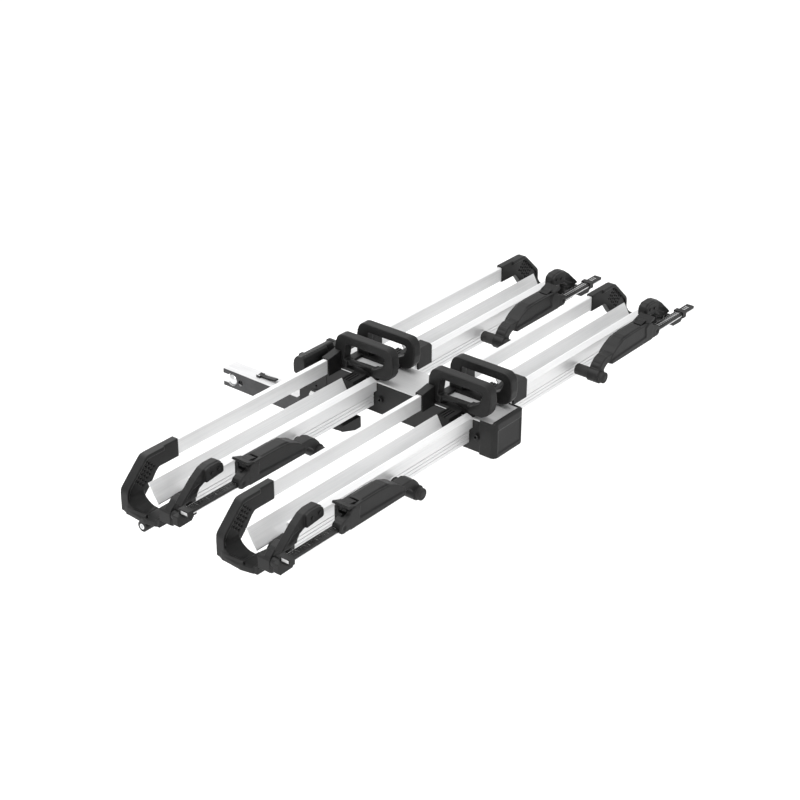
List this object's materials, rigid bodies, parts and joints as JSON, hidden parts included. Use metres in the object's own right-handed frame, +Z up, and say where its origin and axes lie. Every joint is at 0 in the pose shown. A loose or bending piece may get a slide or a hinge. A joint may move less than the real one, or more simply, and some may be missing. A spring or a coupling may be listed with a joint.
{
  "type": "hitch bike rack",
  "caption": "Platform bike rack for a hitch receiver: two trays with V rails and wheel guides on a tilting spine, fold-down ratchet arms, grab loops and a pinned square hitch bar.",
  "frame": {"origin": "centre of the hitch-pin bore, on the axis of the hitch bar", "axes": "+X along the trays, +Y towards the vehicle, +Z up"},
  "size_m": [1.56, 0.91, 0.291],
  "materials": {
    "silver_aluminium": "brushed, clear anodised",
    "dark_metal": "fine textured dark grey powder coat",
    "zinc_steel": "zinc plated",
    "chrome_steel": "polished",
    "black_plastic": "finely textured moulded black plastic",
    "pad_rubber": "matt black rubber"
  },
  "bodies": {
    "hitch": {"hitch_bar": "dark_metal"},
    "ball": {"anti_wobble_ball": "chrome_steel"},
    "rod": {"anti_wobble_rod": "zinc_steel"},
    "knob": {"anti_wobble_knob": "black_plastic"},
    "latch": {"latch_lever": "dark_metal"},
    "platform": {"pivot_bolt": "zinc_steel", "pivot_yoke": "dark_metal", "spine": "dark_metal", "spine_plate": "silver_aluminium", "rear_end_cap": "black_plastic", "arm_pins": "zinc_steel", "lock_body": "black_plastic", "horn_screws": "zinc_steel", "rail_bolts": "dark_metal", "front_hub": "black_plastic", "front_left_loop": "black_plastic", "front_left_back_rail": "silver_aluminium", "front_left_front_rail": "silver_aluminium", "front_left_end_hoop": "black_plastic", "front_left_horn": "black_plastic", "front_right_loop": "black_plastic", "front_right_back_rail": "silver_aluminium", "front_right_front_rail": "silver_aluminium", "front_right_end_hoop": "black_plastic", "front_right_horn": "black_plastic", "rear_hub": "black_plastic", "rear_left_loop": "black_plastic", "rear_left_back_rail": "silver_aluminium", "rear_left_front_rail": "silver_aluminium", "rear_left_end_hoop": "black_plastic", "rear_left_horn": "black_plastic", "rear_right_loop": "black_plastic", "rear_right_back_rail": "silver_aluminium", "rear_right_front_rail": "silver_aluminium", "rear_right_end_hoop": "black_plastic", "rear_right_horn": "black_plastic"},
    "handle": {"tilt_handle": "black_plastic"},
    "pin": {"tilt_pin": "dark_metal"},
    "pedal": {"foot_pedal": "black_plastic"},
    "core": {"lock_core": "chrome_steel"},
    "front_left_arm": {"front_left_pivot_block": "black_plastic"},
    "front_left_bar": {"front_left_arm_bar": "silver_aluminium"},
    "front_left_head": {"front_left_ratchet_head": "black_plastic", "front_left_wheel_pad": "pad_rubber"},
    "front_left_release": {"front_left_trigger": "black_plastic"},
    "front_right_arm": {"front_right_pivot_block": "black_plastic"},
    "front_right_bar": {"front_right_arm_bar": "silver_aluminium"},
    "front_right_head": {"front_right_ratchet_head": "black_plastic", "front_right_wheel_pad": "pad_rubber"},
    "front_right_release": {"front_right_trigger": "black_plastic"},
    "rear_left_arm": {"rear_left_pivot_block": "black_plastic"},
    "rear_left_bar": {"rear_left_arm_bar": "silver_aluminium"},
    "rear_left_head": {"rear_left_ratchet_head": "black_plastic", "rear_left_wheel_pad": "pad_rubber"},
    "rear_left_release": {"rear_left_trigger": "black_plastic"},
    "rear_right_arm": {"rear_right_pivot_block": "black_plastic"},
    "rear_right_bar": {"rear_right_arm_bar": "silver_aluminium"},
    "rear_right_head": {"rear_right_ratchet_head": "black_plastic", "rear_right_wheel_pad": "pad_rubber"},
    "rear_right_release": {"rear_right_trigger": "black_plastic"}
  },
  "joints": [
    {"name": "tilt", "type": "hinge", "parent": "hitch", "child": "platform", "pos_m": [0, -0.285, 0.075], "axis": [-1, 0, 0], "range_deg": [-20, 90]},
    {"name": "handle_turn", "type": "hinge", "parent": "platform", "child": "handle", "pos_m": [0, -0.312, 0.186], "axis": [1, 0, 0], "range_deg": [0, 25], "stiffness_Nm_per_rad": 2, "springref_deg": -28.65},
    {"name": "pin_lift", "type": "slide", "parent": "platform", "child": "pin", "axis": [0, 0, 1], "range_m": [0, 0.012]},
    {"name": "pedal_press", "type": "hinge", "parent": "platform", "child": "pedal", "pos_m": [0, -0.4, 0.079], "axis": [1, 0, 0], "range_deg": [0, 16]},
    {"name": "latch_lift", "type": "hinge", "parent": "hitch", "child": "latch", "pos_m": [0, -0.048, 0.029], "axis": [-1, 0, 0], "range_deg": [0, 20], "stiffness_Nm_per_rad": 0.2, "springref_deg": -28.65},
    {"name": "knob_turn", "type": "hinge", "parent": "hitch", "child": "knob", "pos_m": [0, -0.341, 0.0135], "axis": [0, -1, 0], "range_deg": [0, 720]},
    {"name": "rod_travel", "type": "slide", "parent": "hitch", "child": "rod", "axis": [0, -1, 0], "range_m": [0, 0.0041]},
    {"name": "ball_travel", "type": "slide", "parent": "hitch", "child": "ball", "axis": [1, 0, 0], "range_m": [0, 0.0031]},
    {"name": "lock_turn", "type": "hinge", "parent": "platform", "child": "core", "pos_m": [-0.75, -0.416, 0.088], "axis": [-1, 0, 0], "range_deg": [0, 90]},
    {"name": "front_left_arm_swing", "type": "hinge", "parent": "platform", "child": "front_left_arm", "pos_m": [-0.735, -0.463, 0.142], "axis": [-0.1392, -0.9903, 0], "range_deg": [0, 100]},
    {"name": "front_left_bar_slide", "type": "slide", "parent": "front_left_arm", "child": "front_left_bar", "axis": [-1, 0, 0], "range_m": [0, 0.02]},
    {"name": "front_left_head_slide", "type": "slide", "parent": "front_left_bar", "child": "front_left_head", "axis": [1, 0, 0], "range_m": [0, 0.06]},
    {"name": "front_left_release_press", "type": "hinge", "parent": "front_left_head", "child": "front_left_release", "pos_m": [-0.548, -0.533, 0.196], "axis": [0, 1, 0], "range_deg": [0, 12], "stiffness_Nm_per_rad": 0.3, "springref_deg": -22.92},
    {"name": "front_right_arm_swing", "type": "hinge", "parent": "platform", "child": "front_right_arm", "pos_m": [0.735, -0.463, 0.142], "axis": [-0.1392, 0.9903, 0], "range_deg": [0, 100]},
    {"name": "front_right_bar_slide", "type": "slide", "parent": "front_right_arm", "child": "front_right_bar", "axis": [1, 0, 0], "range_m": [-0.044, 0]},
    {"name": "front_right_head_slide", "type": "slide", "parent": "front_right_bar", "child": "front_right_head", "axis": [-1, 0, 0], "range_m": [0, 0.06]},
    {"name": "front_right_release_press", "type": "hinge", "parent": "front_right_head", "child": "front_right_release", "pos_m": [0.568, -0.533, 0.196], "axis": [0, -1, 0], "range_deg": [0, 12], "stiffness_Nm_per_rad": 0.3, "springref_deg": -22.92},
    {"name": "rear_left_arm_swing", "type": "hinge", "parent": "platform", "child": "rear_left_arm", "pos_m": [-0.735, -0.748, 0.142], "axis": [-0.1392, -0.9903, 0], "range_deg": [0, 100]},
    {"name": "rear_left_bar_slide", "type": "slide", "parent": "rear_left_arm", "child": "rear_left_bar", "axis": [-1, 0, 0], "range_m": [0, 0.02]},
    {"name": "rear_left_head_slide", "type": "slide", "parent": "rear_left_bar", "child": "rear_left_head", "axis": [1, 0, 0], "range_m": [0, 0.06]},
    {"name": "rear_left_release_press", "type": "hinge", "parent": "rear_left_head", "child": "rear_left_release", "pos_m": [-0.548, -0.818, 0.196], "axis": [0, 1, 0], "range_deg": [0, 12], "stiffness_Nm_per_rad": 0.3, "springref_deg": -22.92},
    {"name": "rear_right_arm_swing", "type": "hinge", "parent": "platform", "child": "rear_right_arm", "pos_m": [0.735, -0.748, 0.142], "axis": [-0.1392, 0.9903, 0], "range_deg": [0, 100]},
    {"name": "rear_right_bar_slide", "type": "slide", "parent": "rear_right_arm", "child": "rear_right_bar", "axis": [1, 0, 0], "range_m": [-0.044, 0]},
    {"name": "rear_right_head_slide", "type": "slide", "parent": "rear_right_bar", "child": "rear_right_head", "axis": [-1, 0, 0], "range_m": [0, 0.06]},
    {"name": "rear_right_release_press", "type": "hinge", "parent": "rear_right_head", "child": "rear_right_release", "pos_m": [0.568, -0.818, 0.196], "axis": [0, -1, 0], "range_deg": [0, 12], "stiffness_Nm_per_rad": 0.3, "springref_deg": -22.92}
  ],
  "couplings": [
    {"joint": "pin_lift", "follows": "handle_turn", "m_per_rad": 0.026},
    {"joint": "pedal_press", "follows": "handle_turn", "ratio": 0.6},
    {"joint": "rod_travel", "follows": "knob_turn", "m_per_rad": 0.000318},
    {"joint": "ball_travel", "follows": "knob_turn", "m_per_rad": 0.000238}
  ]
}
